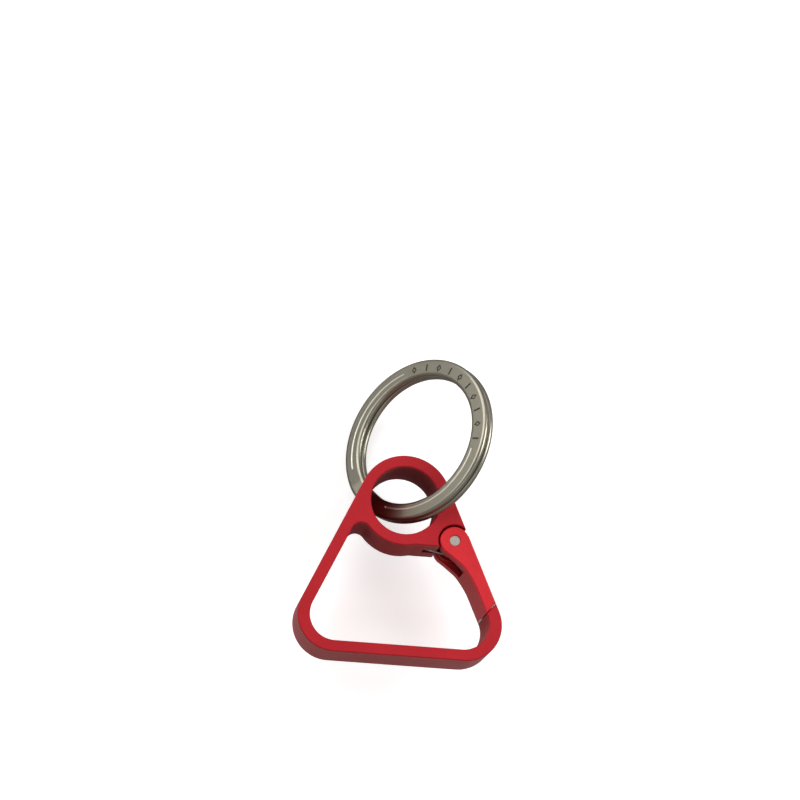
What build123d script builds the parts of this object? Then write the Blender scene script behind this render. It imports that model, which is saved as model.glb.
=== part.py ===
from build123d import *
import math
import os

# Carabiner keyring: a triangular snap frame with a sprung gate and a flat split ring.
# Millimetres. The design plane is XY with the frame's back face at Z = 0 and its
# front face at Z = PLATE_T; the key eye is centred on X = Y = 0 until the whole
# assembly is shifted to its own origin at the end of the script.

# ---------------------------------------------------------------- frame plate
PLATE_T = 8.7            # thickness of the sawn section, back face to front face
EYE_R = 5.92             # key eye radius
APEX_R = 7.93            # outer radius round the eye
APEX_C = (0.07, 0.025)   # centre of that arc; the gate side stands a little further out
SIDE_DEG = 24.33         # angle of each side's outward normal above the horizontal
SIDE_D = 7.93            # arc centre to each outer side line
SIDE_W = 2.11            # side bars: outer side line to inner side line
BASE_Y = -27.03          # outer base line
BASE_W = 1.96            # width of the base bar
CORNER_R = 6.32          # outer lower corners
CORNER_RI = 4.45         # inner lower corners
POCKET_R = 1.7           # rounded top of the window beside the eye
WEB_R = 7.88             # window side of the wall under the eye
WEB_END_DEG = 285.0      # where that wall leaves the circle and runs straight
WEB_Y = -7.6             # straight underside of the hinge root
EDGE = 0.18              # edge break on both faces
BORE_EDGE = 0.12         # edge break round the pin

# ---------------------------------------------------------------- gate hinge
PIVOT_N, PIVOT_S = 5.42, 9.49   # pivot, across and along the gate side
BOSS_R = 2.5             # gate boss
CRADLE_R = 2.85          # hollow in the frame round the boss
EAR_R = 2.3              # frame ears inside the gate's fork
FORK_R = 2.62            # fork pocket round the ears
CHEEK_T = 2.0            # gate cheeks
SIDE_GAP = 0.08          # cheek to ear
EAR_T = 1.25             # ear thickness
PIN_R = 0.93             # pivot pin
PIN_RUN = 0.03           # radial running clearance in the ears
PIN_SINK = 0.06          # pin ends below the cheek faces
CUT_S = 22.0             # gate joint on the outer line
CUT_SLOPE = 0.515        # slant of the joint, along over across
CUT_GAP = 0.05           # gap at the closed joint
GATE_OPEN_DEG = 50.0     # opening travel, inwards

# ---------------------------------------------------------------- gate spring
WIRE_R = 0.21            # spring wire radius
COIL_R = 1.45            # mean coil radius
LEG_Z0, LEG_Z1 = 3.68, 5.02     # heights of the two legs
LEG_A_END = (4.45, -7.03)       # leg in the frame slot
LEG_B_END = (5.75, 14.3)        # leg in the gate slot, across and along
FRAME_SLOT_X = 3.9       # closed end of the frame's spring slot
FRAME_SLOT_Y = -6.75     # floor of the frame's spring slot
GATE_SLOT_N = 6.05       # floor of the gate's hollow, across the gate side
GATE_SLOT_S = 14.8       # closed end of the gate's hollow, along the gate side

# ---------------------------------------------------------------- split ring
RING_RO = 15.02           # 30 mm outside diameter
RING_RI = 11.86
COIL_T = 1.26            # one turn of flat wire
COIL_GAP = 0.06          # between the two turns
COIL_EDGE = 0.60         # rounded edges of the flat wire
JOG_FROM, JOG_TO = 130.0, 158.0   # where the wire steps from one turn to the other
RING_C = (2.245, 11.80, PLATE_T - 3.675)
RING_N = (-0.9865, 0.1549, 1.0)
GROOVE_R = 13.3          # engraved marks
GROOVE_W = 0.42
GROOVE_D = 0.13
GROOVES = ((27.0, 117.0, 13.42), (170.0, 264.0, 12.95))   # from, to, radius
MOTIF_FROM, MOTIF_TO, MOTIF_N = 17.0, -88.0, 10

Z1 = CHEEK_T
Z2 = CHEEK_T + SIDE_GAP
Z3 = Z2 + EAR_T
Z4 = PLATE_T - Z3
Z5 = PLATE_T - Z2
Z6 = PLATE_T - Z1

PHI = math.radians(SIDE_DEG)
CO, SI = math.cos(PHI), math.sin(PHI)


def ns(n, s):
    """Point from distances across and along the gate side."""
    return (n * CO + s * SI, n * SI - s * CO)


def polar(r, deg, c=(0.0, 0.0)):
    a = math.radians(deg)
    return (c[0] + r * math.cos(a), c[1] + r * math.sin(a))


PIVOT = ns(PIVOT_N, PIVOT_S)


def slab(face, z0, z1):
    return extrude(Pos(0, 0, z0) * face, z1 - z0)


def disc(c, r, z0, z1):
    return Pos(c[0], c[1], (z0 + z1) / 2) * Cylinder(r, z1 - z0)


def corner(side_d, base_y, r):
    cy = base_y + r
    cx = (side_d - r - SI * cy) / CO
    return cx, cy


# ---------------------------------------------------------------- frame body
cx, cy = corner(SIDE_D, BASE_Y, CORNER_R)
tr = (APEX_R * CO, APEX_R * SI)
tl = (-tr[0], tr[1])
sr = (cx + CORNER_R * CO, cy + CORNER_R * SI)
sl = (-sr[0], sr[1])
mid = math.radians((SIDE_DEG - 90.0) / 2)
mr = (cx + CORNER_R * math.cos(mid), cy + CORNER_R * math.sin(mid))
ml = (-mr[0], mr[1])
outer = make_face([
    ThreePointArc(tr, (0, APEX_R), tl),
    Line(tl, sl),
    ThreePointArc(sl, ml, (-cx, BASE_Y)),
    Line((-cx, BASE_Y), (cx, BASE_Y)),
    ThreePointArc((cx, BASE_Y), mr, sr),
    Line(sr, tr),
])
outer = Pos(*APEX_C) * outer

SIDE_I = SIDE_D - SIDE_W
BASE_I = BASE_Y + BASE_W
ix, iy = corner(SIDE_I, BASE_I, CORNER_RI)
ir = (ix + CORNER_RI * CO, iy + CORNER_RI * SI)
il = (-ir[0], ir[1])
imr = (ix + CORNER_RI * math.cos(mid), iy + CORNER_RI * math.sin(mid))
iml = (-imr[0], imr[1])
# pocket circle, tangent to the left inner line and to the wall under the eye
pd = WEB_R + POCKET_R
pa = 180.0 - SIDE_DEG + math.degrees(math.acos((SIDE_I - POCKET_R) / pd))
pc = polar(pd, pa)
p_line = (pc[0] - POCKET_R * CO, pc[1] + POCKET_R * SI)
p_web = polar(WEB_R, pa)
p_top = polar(POCKET_R, ((180.0 - SIDE_DEG) + (pa - 180.0)) / 2, pc)
web_end = polar(WEB_R, WEB_END_DEG)
web_mid = polar(WEB_R, (pa + WEB_END_DEG) / 2)
root = (6.5, WEB_Y)
win = make_face([
    ThreePointArc(p_line, p_top, p_web),
    ThreePointArc(p_web, web_mid, web_end),
    Line(web_end, root),
    Line(root, ns(4.2, 12.0)),
    Line(ns(4.2, 12.0), ns(SIDE_I, 15.0)),
    Line(ns(SIDE_I, 15.0), ir),
    ThreePointArc(ir, imr, (ix, BASE_I)),
    Line((ix, BASE_I), (-ix, BASE_I)),
    ThreePointArc((-ix, BASE_I), iml, il),
    Line(il, p_line),
])


def cut_s(n):
    return CUT_S + (SIDE_D - n) * CUT_SLOPE


gate_way = make_face(Polyline(
    ns(3.9, PIVOT_S), ns(9.5, PIVOT_S), ns(9.5, cut_s(9.5)), ns(4.6, cut_s(4.6)),
    ns(4.6, 16.0), ns(3.9, 12.0), close=True))

body2d = outer - win - Circle(EYE_R) - gate_way - (Pos(*PIVOT) * Circle(CRADLE_R))
frame_body = slab(body2d, 0, PLATE_T)
# edge breaks on both faces
breaks = [e for e in frame_body.edges()
          if abs(e.center().Z) < 1e-6 or abs(e.center().Z - PLATE_T) < 1e-6]
frame_body = chamfer(breaks, EDGE)

# two ears that carry the pin between the gate's cheeks
fan = [PIVOT] + [polar(3.6, a, PIVOT) for a in range(64, 201, 8)]
ear2d = (make_face(Polyline(*fan, close=True)) & outer) + (Pos(*PIVOT) * Circle(EAR_R))
ear2d = ear2d - (Pos(*PIVOT) * Circle(PIN_R + PIN_RUN))
for z0, z1 in ((Z2, Z3), (Z4, Z5)):
    frame_body = frame_body + slab(ear2d, z0, z1)
# spring slot in the wall under the eye
slot_h = Z4 - Z3
slot_a = make_face(Polyline(
    (FRAME_SLOT_X, FRAME_SLOT_Y), (PIVOT[0], FRAME_SLOT_Y), (PIVOT[0], WEB_Y - 1.5),
    (FRAME_SLOT_X, WEB_Y - 1.5), close=True))
frame_body = frame_body - slab(slot_a, Z3, Z4)

# ---------------------------------------------------------------- gate
foot_i = ns(SIDE_I, cut_s(SIDE_I) - CUT_GAP)
GATE_O = SIDE_D + APEX_C[0] * CO + APEX_C[1] * SI     # outer line of the gate side
foot_o = ns(GATE_O, cut_s(GATE_O) - CUT_GAP)
off = 0.556, 0.831       # direction in which the inner edge leaves the boss
leave = ns(PIVOT_N - BOSS_R * off[1], PIVOT_S + BOSS_R * off[0])
t0 = ns(off[0], off[1])
t1 = ns(0.0, 1.0)
inner_curve = Spline(
    leave, ns(4.45, 12.85), ns(5.08, 14.12), ns(5.48, 15.6), ns(5.76, 17.4), ns(SIDE_I, 20.0),
    tangents=[t0, t1])
leg2d = make_face([
    inner_curve,
    Line(ns(SIDE_I, 20.0), foot_i),
    Line(foot_i, foot_o),
    Line(foot_o, ns(GATE_O, PIVOT_S)),
    Line(ns(GATE_O, PIVOT_S), PIVOT),
    Line(PIVOT, leave),
])
gate2d = leg2d + (Pos(*PIVOT) * Circle(BOSS_R))
gate = slab(gate2d, 0, PLATE_T)
breaks = [e for e in gate.edges()
          if abs(e.center().Z) < 1e-6 or abs(e.center().Z - PLATE_T) < 1e-6]
gate = chamfer(breaks, EDGE)
gate = gate - disc(PIVOT, FORK_R, Z1, Z6)
hollow = make_face(Polyline(
    ns(PIVOT_N - 3.2, PIVOT_S), ns(GATE_SLOT_N, PIVOT_S), ns(GATE_SLOT_N, GATE_SLOT_S),
    ns(PIVOT_N - 3.2, GATE_SLOT_S), close=True))
gate = gate - slab(hollow, Z1, Z6)
gate = gate - disc(PIVOT, PIN_R, -1, PLATE_T + 1)
mouths = [e for e in gate.edges()
          if e.geom_type == GeomType.CIRCLE and abs(e.radius - PIN_R) < 1e-4
          and (abs(e.center().Z) < 1e-6 or abs(e.center().Z - PLATE_T) < 1e-6)]
gate = chamfer(mouths, BORE_EDGE)

# ---------------------------------------------------------------- hinge pin
hinge_pin = disc(PIVOT, PIN_R, PIN_SINK, PLATE_T - PIN_SINK)
hinge_pin = chamfer(hinge_pin.edges().filter_by(GeomType.CIRCLE), 0.1)

# ---------------------------------------------------------------- gate spring
def tangent_point(end, side):
    """Where a straight leg to end leaves the coil circle; side is +1 or -1."""
    dx, dy = end[0] - PIVOT[0], end[1] - PIVOT[1]
    a = math.degrees(math.atan2(dy, dx)) + side * math.degrees(
        math.acos(COIL_R / math.hypot(dx, dy)))
    return a


leg_b = ns(*LEG_B_END)
a_deg = tangent_point(LEG_A_END, +1) % 360.0
b_deg = tangent_point(leg_b, -1) % 360.0
sweep_deg = (b_deg - a_deg) % 360.0 + 720.0
pitch = (LEG_Z1 - LEG_Z0) / (sweep_deg / 360.0)
coil_path = Helix(pitch=pitch, height=LEG_Z1 - LEG_Z0, radius=COIL_R)
coil_path = Pos(PIVOT[0], PIVOT[1], LEG_Z0) * Rot(0, 0, a_deg) * coil_path
coil = sweep(Plane(origin=coil_path @ 0, z_dir=coil_path % 0) * Circle(WIRE_R), path=coil_path)


def rod(p, q, r):
    d = Vector(*q) - Vector(*p)
    return extrude(Plane(origin=p, z_dir=d) * Circle(r), d.length)


pa3 = (*polar(COIL_R, a_deg, PIVOT), LEG_Z0)
pb3 = (*polar(COIL_R, b_deg, PIVOT), LEG_Z1)
gate_spring = coil + rod(pa3, (*LEG_A_END, LEG_Z0), WIRE_R) + rod(pb3, (*leg_b, LEG_Z1), WIRE_R)
gate_spring = gate_spring + Pos(*pa3) * Sphere(WIRE_R) + Pos(*pb3) * Sphere(WIRE_R)
print("spring turns", round(sweep_deg / 360, 3), "pitch", round(pitch, 3))

# ---------------------------------------------------------------- split ring
C = Vector(*RING_C)
N = Vector(*RING_N).normalized()
UP = C - Vector(0, 0, PLATE_T / 2)
UP = (UP - N * UP.dot(N)).normalized()
ring_plane = Plane(origin=C, x_dir=UP, z_dir=N)
rm, rw = (RING_RO + RING_RI) / 2, RING_RO - RING_RI
zc = (COIL_T + COIL_GAP) / 2


def wire_section(deg, z):
    a = math.radians(deg)
    pl = Plane(origin=(rm * math.cos(a), rm * math.sin(a), z),
               x_dir=(math.cos(a), math.sin(a), 0), z_dir=(-math.sin(a), math.cos(a), 0))
    return pl * RectangleRounded(rw, COIL_T, COIL_EDGE)


def turn(deg0, deg1, z):
    return revolve(wire_section(deg0, z), Axis.Z, deg1 - deg0)


steps = 8
jog_sections = []
for i in range(steps + 1):
    u = i / steps
    jog_sections.append(wire_section(JOG_FROM + (JOG_TO - JOG_FROM) * u,
                                     zc - 2 * zc * (u * u * (3 - 2 * u))))
jog = loft(jog_sections)
front = turn(JOG_TO, JOG_FROM + 360, zc)
back = turn(JOG_TO, JOG_FROM + 360, -zc)
key_ring = front + jog + back

face_z = zc + COIL_T / 2
# engraved lines on the front turn
gr = (GROOVE_W ** 2 / 4 + GROOVE_D ** 2) / (2 * GROOVE_D)
for g0, g1, g_r in GROOVES:
    a = math.radians(g0)
    sec = Plane(origin=(g_r * math.cos(a), g_r * math.sin(a), face_z + gr - GROOVE_D),
                x_dir=(math.cos(a), math.sin(a), 0),
                z_dir=(-math.sin(a), math.cos(a), 0)) * Circle(gr)
    key_ring = key_ring - revolve(sec, Axis.Z, g1 - g0)
    for g in (g0, g1):
        key_ring = key_ring - Pos(*polar(g_r, g), face_z + gr - GROOVE_D) * Sphere(gr)
# plain engraved border of diamonds and short strokes between the two lines
tools = []
for i in range(MOTIF_N):
    a = MOTIF_FROM + (MOTIF_TO - MOTIF_FROM) * i / (MOTIF_N - 1)
    at = Rot(0, 0, a) * Pos(GROOVE_R, 0, face_z)
    if i % 2:
        tools.append(at * Box(1.3, 0.3, 2 * 0.11))
    else:
        kite = make_face(Polyline((0.72, 0), (0, 0.5), (-0.72, 0), (0, -0.5), close=True))
        hole = make_face(Polyline((0.34, 0), (0, 0.22), (-0.34, 0), (0, -0.22), close=True))
        tools.append(at * Pos(0, 0, -0.11) * extrude(kite - hole, 0.3))
for t in tools:
    key_ring = key_ring - t
key_ring = ring_plane.location * key_ring

# ---------------------------------------------------------------- place and write
nodes = {
    "frame_body": frame_body,
    "gate": gate,
    "hinge_pin": hinge_pin,
    "gate_spring": gate_spring,
    "key_ring": key_ring,
}
boxes = [s.bounding_box() for s in nodes.values()]
lo = [min(getattr(b.min, k) for b in boxes) for k in "XYZ"]
hi = [max(getattr(b.max, k) for b in boxes) for k in "XYZ"]
SHIFT = (-(lo[0] + hi[0]) / 2, -(lo[1] + hi[1]) / 2, -lo[2])
print("shift", [round(v, 4) for v in SHIFT], "pivot", [round(v, 4) for v in PIVOT])
print("size", [round(h - l, 3) for l, h in zip(lo, hi)])
os.makedirs("parts", exist_ok=True)
for name, solid in nodes.items():
    moved = Compound([Pos(*SHIFT) * s for s in solid.solids()])
    moved.label = name
    print(name, "solids", len(moved.solids()), "volume", round(moved.volume, 3), "valid", moved.is_valid)
    export_step(moved, f"parts/{name}.step")
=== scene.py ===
import math

import bpy
from mathutils import Matrix, Vector


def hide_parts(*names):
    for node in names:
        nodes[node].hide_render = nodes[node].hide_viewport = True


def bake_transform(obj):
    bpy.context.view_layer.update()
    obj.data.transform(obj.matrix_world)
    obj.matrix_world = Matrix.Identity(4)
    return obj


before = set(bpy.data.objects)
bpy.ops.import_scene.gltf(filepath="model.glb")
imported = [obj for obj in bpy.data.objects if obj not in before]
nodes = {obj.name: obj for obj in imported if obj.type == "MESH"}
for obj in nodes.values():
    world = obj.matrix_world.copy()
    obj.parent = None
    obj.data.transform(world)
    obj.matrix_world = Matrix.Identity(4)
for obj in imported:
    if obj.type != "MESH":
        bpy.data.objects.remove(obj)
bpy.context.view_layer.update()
MM = 0.001
# the carabiner's own origin, on the eye's axis at its back face, in this frame
SHIFT = Vector((-0.07, 0.0981, 6.2525))


# ------------------------------------------------------------ node helpers
class Tree:
    """A material's node tree, with short calls to add and join nodes."""

    def __init__(self, name):
        self.mat = bpy.data.materials.new(name)
        self.mat.use_nodes = True
        self.nt = self.mat.node_tree
        self.nt.nodes.clear()
        self.out = self.add("ShaderNodeOutputMaterial")
        self.coord = self.add("ShaderNodeTexCoord").outputs["Object"]

    def add(self, kind, props=None, **values):
        n = self.nt.nodes.new(kind)
        for k, v in (props or {}).items():
            setattr(n, k, v)
        for k, v in values.items():
            self.put(n.inputs[k.replace("_", " ")], v)
        return n

    def put(self, socket, v):
        if isinstance(v, bpy.types.NodeSocket):
            self.nt.links.new(v, socket)
        else:
            socket.default_value = v

    def math(self, op, a, b=0.0, c=None, clamp=False):
        n = self.nt.nodes.new("ShaderNodeMath")
        n.operation, n.use_clamp = op, clamp
        self.put(n.inputs[0], a)
        self.put(n.inputs[1], b)
        if c is not None:
            self.put(n.inputs[2], c)
        return n.outputs[0]

    def vec(self, op, a, b=(0, 0, 0)):
        n = self.nt.nodes.new("ShaderNodeVectorMath")
        n.operation = op
        self.put(n.inputs[0], a)
        self.put(n.inputs[1], b)
        return n.outputs["Value"] if op in ("DOT_PRODUCT", "LENGTH") else n.outputs[0]

    def noise(self, vector, scale, detail=2.0, rough=0.5, w=None):
        n = self.nt.nodes.new("ShaderNodeTexNoise")
        if w is not None:
            n.noise_dimensions = "4D"
            n.inputs["W"].default_value = w
        self.put(n.inputs["Vector"], vector)
        n.inputs["Scale"].default_value = scale
        n.inputs["Detail"].default_value = detail
        n.inputs["Roughness"].default_value = rough
        return n.outputs["Fac"]

    def span(self, v, a, b, c, d, smooth=False):
        """v from a..b mapped to c..d and held at the ends."""
        n = self.nt.nodes.new("ShaderNodeMapRange")
        n.clamp = True
        if smooth:
            n.interpolation_type = "SMOOTHSTEP"
        for s, x in zip(n.inputs[:5], (v, a, b, c, d)):
            self.put(s, x)
        return n.outputs[0]

    def mix(self, fac, a, b, mode="MIX"):
        n = self.nt.nodes.new("ShaderNodeMix")
        n.data_type, n.blend_type = "RGBA", mode
        self.put(n.inputs["Factor"], fac)
        self.put(n.inputs[6], a)
        self.put(n.inputs[7], b)
        return n.outputs[2]

    def bump(self, height, distance, strength=1.0, normal=None):
        n = self.nt.nodes.new("ShaderNodeBump")
        n.inputs["Strength"].default_value = strength
        n.inputs["Distance"].default_value = distance
        self.put(n.inputs["Height"], height)
        if normal is not None:
            self.put(n.inputs["Normal"], normal)
        return n.outputs[0]

    def crevice(self, reach, low=0.0, high=1.0):
        """Occlusion mask used to paint shade: 1 on open surface, falling to 0 in narrow gaps of the piece itself."""
        n = self.nt.nodes.new("ShaderNodeAmbientOcclusion")
        n.only_local = True
        n.samples = 8
        n.inputs["Distance"].default_value = reach
        return self.span(n.outputs["AO"], low, high, 0.0, 1.0)

    def shader(self, **values):
        b = self.add("ShaderNodeBsdfPrincipled")
        for k, v in values.items():
            self.put(b.inputs[k.replace("_", " ")], v)
        return b.outputs[0]

    def surface(self, **values):
        """The Principled shader of the material, joined to the output."""
        self.nt.links.new(self.shader(**values), self.out.inputs["Surface"])
        return self.mat

    def mixed(self, fac, a, b):
        n = self.nt.nodes.new("ShaderNodeMixShader")
        for s, v in zip(n.inputs, (fac, a, b)):
            self.nt.links.new(v, s)
        return n.outputs[0]

    def blend(self, fac, a, b):
        """Two shaders mixed by fac, joined to the output."""
        self.nt.links.new(self.mixed(fac, a, b), self.out.inputs["Surface"])
        return self.mat


def rgb(r, g, b):
    return (r, g, b, 1.0)


def scaled(c, k):
    return rgb(*(min(1.0, x * k) for x in c[:3]))


# --------------------------------------------------------------- materials
SIDE = math.radians(24.33)
SIDE_N = Vector((math.cos(SIDE), math.sin(SIDE), 0.0))
JOINT_N = Vector((math.sin(SIDE), -math.cos(SIDE), 0.0)) + SIDE_N * 0.515
JOINT_D = (22.0 + 7.93 * 0.515) / JOINT_N.length
JOINT_N = JOINT_N.normalized()


def anodised(name, base, rough, seed, deep_shade=0.26):
    """Dyed anodising over bead-blasted aluminium: satin metal with fine grain and faint clouds."""
    t = Tree(name)
    p = t.coord
    grain = t.noise(p, 9000.0, 3.0, 0.65, w=seed)
    mottle = t.noise(p, 1700.0, 2.0, 0.5, w=seed + 3.1)
    cloud = t.noise(p, 110.0, 2.0, 0.5, w=seed + 7.7)
    tone = t.mix(t.span(cloud, 0.3, 0.7, 0.0, 1.0), scaled(base, 0.93), scaled(base, 1.06))
    tone = t.mix(t.span(mottle, 0.25, 0.75, 0.0, 0.5), tone, scaled(base, 0.86))
    tone = t.mix(t.span(grain, 0.45, 0.75, 0.0, 0.32), tone, scaled(base, 1.35))
    # painted shade: the red darkens to under half in narrow gaps of the piece itself
    gap_shade = t.crevice(0.9 * MM, 0.25, 0.8)
    tone = t.mix(gap_shade, scaled(base, 0.45), tone)
    r = t.math("ADD", t.span(grain, 0.2, 0.8, rough - 0.05, rough + 0.06),
               t.span(cloud, 0.3, 0.7, -0.03, 0.03))
    # painted shadow and grime along the slanted joint between the gate's foot and the nose
    plate = t.vec("SUBTRACT", p, tuple(SHIFT * MM))
    g = t.math("SUBTRACT", t.math("MULTIPLY", t.vec("DOT_PRODUCT", plate, tuple(JOINT_N)), 1000.0), JOINT_D)
    off = t.math("ABSOLUTE", t.math("ADD", g, 0.022))
    n = t.math("MULTIPLY", t.vec("DOT_PRODUCT", plate, tuple(SIDE_N)), 1000.0)
    seam = t.math("MULTIPLY", t.span(off, 0.05, 0.12, 1.0, 0.0), t.span(n, 4.4, 4.6, 0.0, 1.0))
    fine = t.bump(grain, 0.012 * MM, 0.55)
    b = t.bump(mottle, 0.02 * MM, 0.25, fine)
    bright = t.shader(Base_Color=tone, Metallic=0.35, Roughness=r, IOR=1.4, Normal=b,
                      Coat_Weight=0.5, Coat_Roughness=0.3, Coat_IOR=1.45)
    # painted shade: deep inside the holes a darker, duller copy of the finish is mixed in by how enclosed the surface
    # is
    dull = t.mix(0.85, tone, scaled(base, deep_shade))
    dark = t.shader(Base_Color=dull, Metallic=0.1, Roughness=0.7, IOR=1.25, Normal=b)
    metal = t.mixed(t.crevice(14.0 * MM, 0.38, 0.97), dark, bright)
    shadow_and_grime = t.add("ShaderNodeBsdfDiffuse", Color=scaled(base, 0.32)).outputs[0]
    return t.blend(seam, metal, shadow_and_grime)


RING_C = (Vector((2.245, 11.80, 5.025)) + SHIFT) * MM
RING_N = Vector((-0.9865, 0.1549, 1.0)).normalized()
RING_UP = Vector((2.245, 11.80, 5.025 - 4.35))
RING_UP = (RING_UP - RING_N * RING_UP.dot(RING_N)).normalized()
RING_V = RING_N.cross(RING_UP)


def nickel(name):
    """Plated, drawn flat wire: bright warm grey with lines along the wire and haze, painted shade in the seam and
    painted highlight and shade in the engraved lines.
    """
    t = Tree(name)
    rel = t.vec("SUBTRACT", t.coord, tuple(RING_C))
    h = t.vec("DOT_PRODUCT", rel, tuple(RING_N))
    dist = t.vec("LENGTH", rel)
    across = t.nt.nodes.new("ShaderNodeCombineXYZ")
    t.put(across.inputs[0], t.math("MULTIPLY", h, 1000.0))
    t.put(across.inputs[1], t.math("MULTIPLY", dist, 1000.0))
    slow = t.noise(t.coord, 60.0, 1.0, 0.5, w=2.0)
    t.put(across.inputs[2], t.math("MULTIPLY", slow, 4.0))
    lines = t.noise(across.outputs[0], 14.0, 3.0, 0.6, w=5.0)
    haze = t.noise(t.coord, 260.0, 3.0, 0.6, w=1.3)
    pits = t.noise(t.coord, 5200.0, 2.0, 0.5, w=9.1)
    base = rgb(0.37, 0.350, 0.280)
    tone = t.mix(t.span(haze, 0.35, 0.7, 0.0, 0.7), base, rgb(0.31, 0.292, 0.233))
    tone = t.mix(t.span(lines, 0.35, 0.7, 0.0, 0.25), tone, rgb(0.43, 0.41, 0.35))
    # painted highlight and shade in the engraved lines: over one arc they are painted far brighter than the plated
    # face, over the rest near black
    flat_r = t.math("SQRT", t.math("SUBTRACT", t.math("MULTIPLY", dist, dist), t.math("MULTIPLY", h, h)))
    sunk = t.span(h, 1.275 * MM, 1.235 * MM, 0.0, 1.0)
    sunk = t.math("MULTIPLY", sunk, t.span(h, 1.04 * MM, 1.08 * MM, 0.0, 1.0))
    sunk = t.math("MULTIPLY", sunk, t.span(flat_r, 12.45 * MM, 12.55 * MM, 0.0, 1.0))
    sunk = t.math("MULTIPLY", sunk, t.span(flat_r, 14.3 * MM, 14.4 * MM, 1.0, 0.0))
    turned_by = t.math("ARCTAN2", t.vec("DOT_PRODUCT", rel, tuple(RING_V)), t.vec("DOT_PRODUCT", rel, tuple(RING_UP)))
    step = t.math("MULTIPLY", t.span(turned_by, 2.07, 2.10, 0.0, 1.0), t.span(turned_by, 2.88, 2.93, 1.0, 0.0))
    sunk = t.math("MULTIPLY", sunk, t.math("SUBTRACT", 1.0, step))
    lit_arc = t.math("MULTIPLY", t.span(turned_by, -1.62, -1.60, 0.0, 1.0), t.span(turned_by, 0.45, 0.47, 1.0, 0.0))
    tone = t.mix(sunk, tone, t.mix(lit_arc, rgb(0.85, 0.82, 0.72), rgb(0.10, 0.09, 0.07)))
    # painted shade: near-black brown in narrow gaps of the ring itself, such as the seam between its turns
    gap_shade = t.crevice(0.5 * MM, 0.3, 0.85)
    tone = t.mix(gap_shade, rgb(0.10, 0.085, 0.06), tone)
    r = t.math("ADD", t.span(haze, 0.3, 0.7, 0.27, 0.35), t.span(lines, 0.3, 0.7, -0.03, 0.05))
    r = t.math("ADD", r, t.math("MULTIPLY", sunk, 0.12))
    b = t.bump(lines, 0.004 * MM, 0.5, t.bump(pits, 0.004 * MM, 0.3))
    return t.surface(Base_Color=tone, Metallic=1.0, Roughness=r, Normal=b)


PIVOT = (Vector((8.8484, -6.4142, 0.0)) + SHIFT) * MM


def turned(name):
    """Turned end of the pin: rings round its axis, dull grain and a dark reddish rim of painted shade in its narrow
    gaps.
    """
    t = Tree(name)
    rel = t.vec("SUBTRACT", t.coord, tuple(PIVOT))
    flat = t.vec("MULTIPLY", rel, (1.0, 1.0, 0.0))
    r = t.math("MULTIPLY", t.vec("LENGTH", flat), 1000.0)
    comb = t.nt.nodes.new("ShaderNodeCombineXYZ")
    t.put(comb.inputs[0], r)
    t.put(comb.inputs[1], t.math("MULTIPLY", t.noise(t.coord, 400.0, 1.0, w=4.0), 0.4))
    rings = t.noise(comb.outputs[0], 16.0, 2.0, 0.6, w=3.0)
    grain = t.noise(t.coord, 8000.0, 3.0, 0.6, w=6.0)
    tone = t.mix(t.span(grain, 0.3, 0.7, 0.0, 1.0), rgb(0.68, 0.65, 0.57), rgb(0.88, 0.86, 0.77))
    tone = t.mix(t.span(rings, 0.35, 0.65, 0.0, 0.35), tone, rgb(0.45, 0.42, 0.37))
    # painted shade: dark reddish brown in narrow gaps of the pin itself
    gap_shade = t.crevice(0.4 * MM, 0.3, 0.9)
    tone = t.mix(gap_shade, rgb(0.12, 0.05, 0.04), tone)
    ro = t.span(grain, 0.3, 0.7, 0.32, 0.46)
    b = t.bump(rings, 0.010 * MM, 0.5, t.bump(grain, 0.01 * MM, 0.5))
    return t.surface(Base_Color=tone, Metallic=0.9, Roughness=ro, Normal=b)


def spring_wire(name):
    """Drawn spring wire: grey steel with die lines along it and a little dark oil film."""
    t = Tree(name)
    film = t.noise(t.coord, 900.0, 3.0, 0.6, w=1.0)
    fine = t.noise(t.coord, 12000.0, 2.0, 0.6, w=2.0)
    tone = t.mix(t.span(film, 0.35, 0.65, 0.0, 1.0), rgb(0.30, 0.28, 0.25), rgb(0.52, 0.50, 0.46))
    ro = t.math("ADD", t.span(film, 0.3, 0.7, 0.22, 0.36), t.span(fine, 0.3, 0.7, -0.03, 0.05))
    return t.surface(Base_Color=tone, Metallic=1.0, Roughness=ro, Normal=t.bump(fine, 0.004 * MM, 0.5))


def give(obj, mat):
    obj.data.materials.clear()
    obj.data.materials.append(mat)


give(nodes["frame_body"], anodised("anodised_red", (0.57, 0.010, 0.020), 0.44, 1.0))
give(nodes["gate"], anodised("anodised_red_bright", (0.82, 0.024, 0.036), 0.40, 21.0, 0.2))
give(nodes["hinge_pin"], turned("turned_steel"))
give(nodes["key_ring"], nickel("dark_nickel"))


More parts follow.
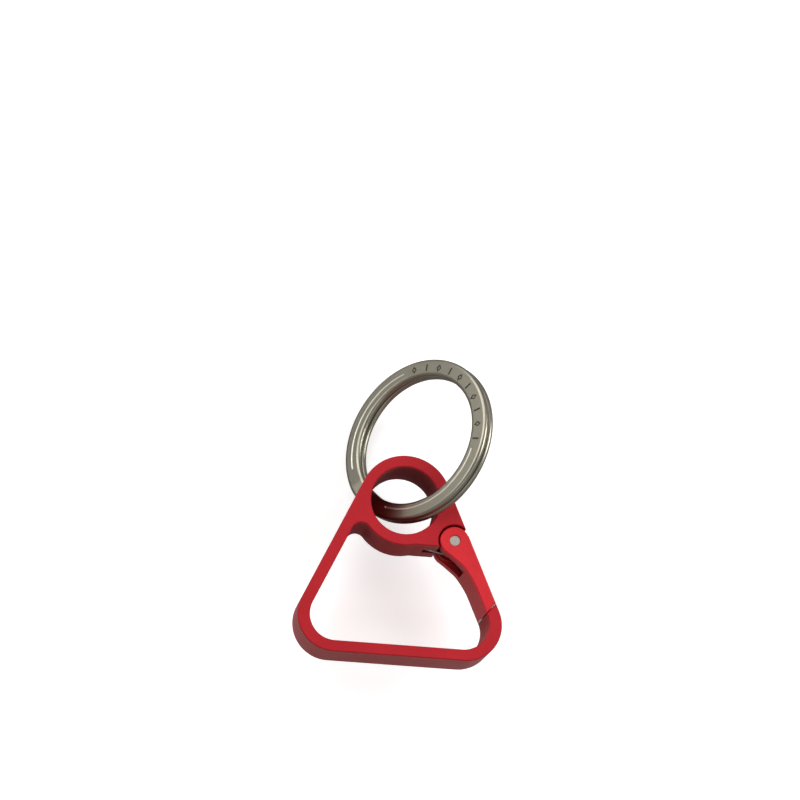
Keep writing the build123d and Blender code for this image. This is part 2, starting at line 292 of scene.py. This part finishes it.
# ------------------------------------------------------------------ spring
def tube(name, path, radius, sides=12):
    """A closed round tube along path, with domed ends."""
    pts = [Vector(p) for p in path]
    tang = []
    for i in range(len(pts)):
        a, b = pts[max(0, i - 1)], pts[min(len(pts) - 1, i + 1)]
        tang.append((b - a).normalized())
    up = tang[0].orthogonal().normalized()
    verts, faces, rings = [], [], []

    def ring(c, t, u, r):
        v = t.cross(u)
        first = len(verts)
        for k in range(sides):
            a = 2 * math.pi * k / sides
            verts.append(c + (u * math.cos(a) + v * math.sin(a)) * r)
        rings.append(first)

    for i, (c, t) in enumerate(zip(pts, tang)):
        up = (up - t * up.dot(t)).normalized()
        if i == 0:
            for q in (80, 55, 30):
                ring(c - t * radius * math.sin(math.radians(q)), t, up, radius * math.cos(math.radians(q)))
        ring(c, t, up, radius)
        if i == len(pts) - 1:
            for q in (30, 55, 80):
                ring(c + t * radius * math.sin(math.radians(q)), t, up, radius * math.cos(math.radians(q)))
    for a, b in zip(rings, rings[1:]):
        for k in range(sides):
            m = (k + 1) % sides
            faces.append((a + k, a + m, b + m, b + k))
    faces.append(tuple(rings[0] + k for k in reversed(range(sides))))
    faces.append(tuple(rings[-1] + k for k in range(sides)))
    mesh = bpy.data.meshes.new(name)
    mesh.from_pydata([tuple(v) for v in verts], [], faces)
    mesh.polygons.foreach_set("use_smooth", [True] * len(faces))
    mesh.update()
    o = bpy.data.objects.new(name, mesh)
    bpy.context.scene.collection.objects.link(o)
    return o


COIL_R, LEG_Z0, LEG_Z1 = 1.45, 3.68, 5.02
TILT = math.radians(24.33)
PV = (8.8484, -6.4142)
END_A = (4.45, -7.03)
END_B = (5.75 * math.cos(TILT) + 14.3 * math.sin(TILT), 5.75 * math.sin(TILT) - 14.3 * math.cos(TILT))


def leaves(end, side):
    dx, dy = end[0] - PV[0], end[1] - PV[1]
    return math.atan2(dy, dx) + side * math.acos(COIL_R / math.hypot(dx, dy))


a0 = leaves(END_A, +1) % (2 * math.pi)
a1 = leaves(END_B, -1) % (2 * math.pi)
turn = (a1 - a0) % (2 * math.pi) + 4 * math.pi


def on_coil(a, z):
    return Vector((PV[0] + COIL_R * math.cos(a), PV[1] + COIL_R * math.sin(a), z))


path = []
start = on_coil(a0, LEG_Z0)
for i in range(13):
    path.append(Vector((*END_A, LEG_Z0)).lerp(start, i / 13))
steps = 170
for i in range(steps + 1):
    s = i / steps
    path.append(on_coil(a0 + turn * s, LEG_Z0 + (LEG_Z1 - LEG_Z0) * s))
finish_at = path[-1]
for i in range(1, 22):
    path.append(finish_at.lerp(Vector((*END_B, LEG_Z1)), i / 21))
spring = tube("torsion_spring", [(p + SHIFT) * MM for p in path], 0.21 * MM)
spring.data.materials.append(spring_wire("spring_wire"))
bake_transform(spring)
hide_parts("gate_spring")

# ------------------------------------------------------------------- stage
floor_mesh = bpy.data.meshes.new("floor")
R = 3.0
floor_mesh.from_pydata([(-R, -R, 0), (R, -R, 0), (R, R, 0), (-R, R, 0)], [], [(0, 1, 2, 3)])
floor = bpy.data.objects.new("floor", floor_mesh)
floor.location.z = -0.05 * MM
bpy.context.scene.collection.objects.link(floor)
ft = Tree("floor_pale")
speck = ft.noise(ft.coord, 40.0, 2.0)
pale = ft.mix(ft.span(speck, 0.3, 0.7, 0.0, 1.0), rgb(0.80, 0.80, 0.80), rgb(0.82, 0.82, 0.82))
shown = ft.add("ShaderNodeBsdfDiffuse", Color=pale)
glow = ft.add("ShaderNodeEmission", Color=rgb(1, 1, 1), Strength=0.55)
both = ft.add("ShaderNodeAddShader")
ft.nt.links.new(shown.outputs[0], both.inputs[0])
ft.nt.links.new(glow.outputs[0], both.inputs[1])
dim = ft.add("ShaderNodeBsdfDiffuse", Color=rgb(0.34, 0.33, 0.32))
ray = ft.add("ShaderNodeLightPath")
pick = ft.add("ShaderNodeMixShader")
ft.nt.links.new(ray.outputs["Is Camera Ray"], pick.inputs[0])
ft.nt.links.new(dim.outputs[0], pick.inputs[1])
ft.nt.links.new(both.outputs[0], pick.inputs[2])
ft.nt.links.new(pick.outputs[0], ft.out.inputs["Surface"])
floor_mesh.materials.append(ft.mat)

# ------------------------------------------------------------------- world
world = bpy.data.worlds.new("studio")
bpy.context.scene.world = world
world.use_nodes = True
wt = world.node_tree
wt.nodes.clear()
w_out = wt.nodes.new("ShaderNodeOutputWorld")
w_bg = wt.nodes.new("ShaderNodeBackground")
w_co = wt.nodes.new("ShaderNodeTexCoord")
w_sep = wt.nodes.new("ShaderNodeSeparateXYZ")
w_ramp = wt.nodes.new("ShaderNodeValToRGB")
w_map = wt.nodes.new("ShaderNodeMapRange")
w_map.inputs[1].default_value, w_map.inputs[2].default_value = -1.0, 1.0
wt.links.new(w_co.outputs["Generated"], w_sep.inputs[0])
wt.links.new(w_sep.outputs[2], w_map.inputs[0])
wt.links.new(w_map.outputs[0], w_ramp.inputs[0])
el = w_ramp.color_ramp.elements
el[0].position, el[0].color = 0.0, rgb(0.25, 0.25, 0.25)
el[1].position, el[1].color = 1.0, rgb(0.22, 0.22, 0.22)
for pos, v in ((0.5, 0.24), (0.62, 0.32), (0.80, 0.40)):
    e = el.new(pos)
    e.color = rgb(v, v * 0.98, v * 0.95)
w_ray = wt.nodes.new("ShaderNodeLightPath")
w_white = wt.nodes.new("ShaderNodeBackground")
w_white.inputs[0].default_value = rgb(1, 1, 1)
w_mix = wt.nodes.new("ShaderNodeMixShader")
wt.links.new(w_ramp.outputs[0], w_bg.inputs[0])
wt.links.new(w_ray.outputs["Is Camera Ray"], w_mix.inputs[0])
wt.links.new(w_bg.outputs[0], w_mix.inputs[1])
wt.links.new(w_white.outputs[0], w_mix.inputs[2])
wt.links.new(w_mix.outputs[0], w_out.inputs[0])


def softbox(name, at, size, power, look=(0, 0, 0.01), color=(1, 1, 1)):
    l = bpy.data.lights.new(name, "AREA")
    l.shape, l.size, l.size_y = "RECTANGLE", size[0], size[1]
    l.energy, l.color = power, color
    o = bpy.data.objects.new(name, l)
    bpy.context.scene.collection.objects.link(o)
    o.location = at
    o.rotation_mode = "QUATERNION"
    o.rotation_quaternion = (Vector(look) - Vector(at)).to_track_quat("-Z", "Y")
    return o


softbox("key", (-0.42, 0.47, 0.50), (0.95, 0.70), 4.3)
softbox("strip", (0.06, -0.33, 0.50), (0.45, 0.05), 0.22)
softbox("fill", (0.55, 0.10, 0.42), (0.40, 0.40), 2.6)

# ------------------------------------------------------------------ camera
cam = bpy.data.cameras.new("camera")
cam.sensor_width = 36.0
cam.lens = 104.04
cam.clip_start, cam.clip_end = 0.01, 20.0
camera = bpy.data.objects.new("camera", cam)
bpy.context.scene.collection.objects.link(camera)
right = Vector((0.98757, 0.04515, 0.15054)).normalized()
down = Vector((0.08725, -0.95420, -0.28618)).normalized()
ahead = right.cross(down).normalized()
ahead = (ahead - right * 0.00013 - down * 0.00015).normalized()
right = (right - ahead * right.dot(ahead)).normalized()
down = ahead.cross(right).normalized()
turned_to = Matrix((right, -down, -ahead)).transposed()
camera.matrix_world = Matrix.Translation((Vector((-54.096, -100.7424, 387.813)) + SHIFT) * MM) @ turned_to.to_4x4()
bpy.context.scene.camera = camera

view = bpy.context.scene.view_settings
view.view_transform = "Standard"
view.look = "None"
view.exposure = 0.0
view.gamma = 1.0
